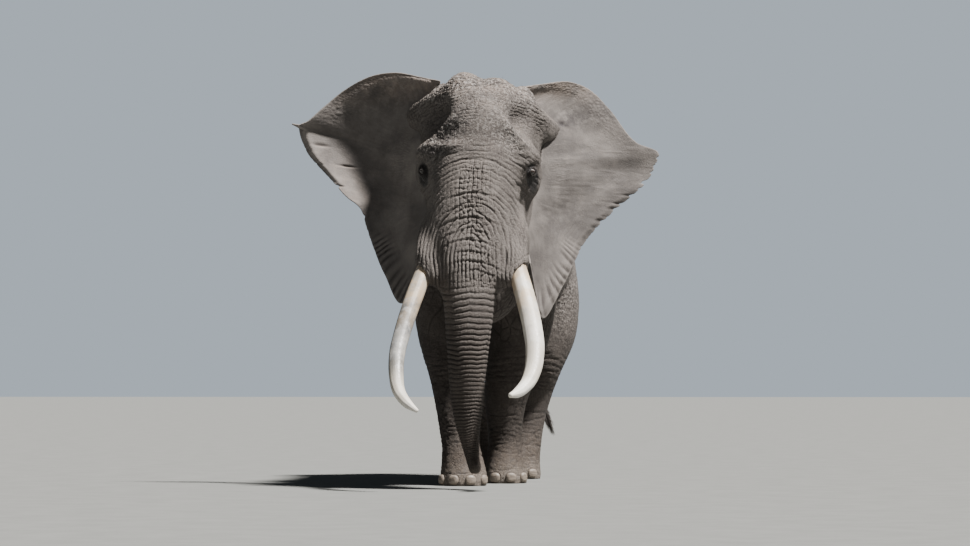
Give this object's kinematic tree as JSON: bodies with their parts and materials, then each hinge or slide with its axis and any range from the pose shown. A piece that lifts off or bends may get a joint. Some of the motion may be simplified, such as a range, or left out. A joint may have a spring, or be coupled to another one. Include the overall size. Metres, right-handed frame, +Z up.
{
  "type": "african bush elephant bull, display model",
  "caption": "Life-size still model of a bull African elephant, standing in mid-stride and facing forward, with spread ears, long tusks and a hanging trunk.",
  "frame": {"origin": "on the ground, at the middle of the model's box seen from above", "axes": "the animal faces -Y, its left side is +X, +Z is up"},
  "size_m": [3.1096, 5.4074, 3.5452],
  "materials": {
    "skin": "matt, wrinkled and dusty",
    "ivory": "smooth, half matt",
    "eye": "wet gloss",
    "nail": "matt horn",
    "hair": "coarse black hair"
  },
  "bodies": {
    "root": {"ear_left": "skin", "ear_right": "skin", "eye_left": "eye", "eye_right": "eye", "head": "skin", "leg_front_left": "skin", "leg_front_right": "skin", "leg_hind_left": "skin", "leg_hind_right": "skin", "lower_jaw": "skin", "neck": "skin", "tail": "skin", "tail_tuft": "hair", "toenail_front_left_1": "nail", "toenail_front_left_2": "nail", "toenail_front_left_3": "nail", "toenail_front_left_4": "nail", "toenail_front_right_1": "nail", "toenail_front_right_2": "nail", "toenail_front_right_3": "nail", "toenail_front_right_4": "nail", "toenail_hind_left_1": "nail", "toenail_hind_left_2": "nail", "toenail_hind_left_3": "nail", "toenail_hind_right_1": "nail", "toenail_hind_right_2": "nail", "toenail_hind_right_3": "nail", "torso": "skin", "trunk_lower": "skin", "trunk_middle": "skin", "trunk_upper": "skin", "tusk_left": "ivory", "tusk_right": "ivory"}
  },
  "joints": []
}
